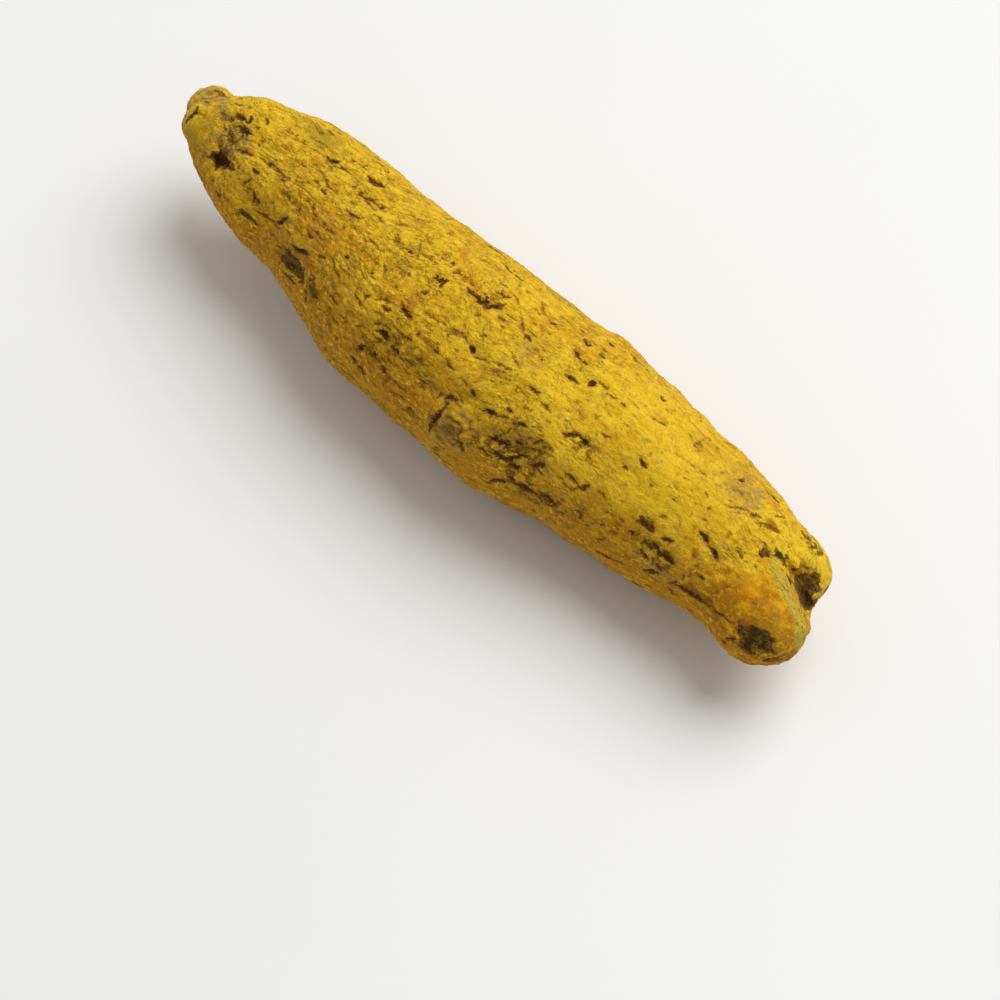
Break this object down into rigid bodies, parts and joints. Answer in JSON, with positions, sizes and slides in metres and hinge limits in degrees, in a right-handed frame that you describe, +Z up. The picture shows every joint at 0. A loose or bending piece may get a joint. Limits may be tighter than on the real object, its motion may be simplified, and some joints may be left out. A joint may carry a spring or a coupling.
{
  "type": "turmeric root",
  "caption": "Dried turmeric finger: a tapered, slightly bent root with a powdery cracked skin, a knobbed tip and a lobed, snapped-off end. It lies on a small flat worn on its belly.",
  "frame": {"origin": "on the surface the root lies on, under the middle of its bounding box", "axes": "+X along the root from the knobbed growing tip to the snapped-off end, +Z up as it lies"},
  "size_m": [0.0534, 0.0128, 0.0122],
  "materials": {
    "turmeric_skin": "dry, powdery, matt cork skin, golden yellow with brown cracks"
  },
  "bodies": {
    "root": {"turmeric_root": "turmeric_skin"}
  },
  "joints": []
}
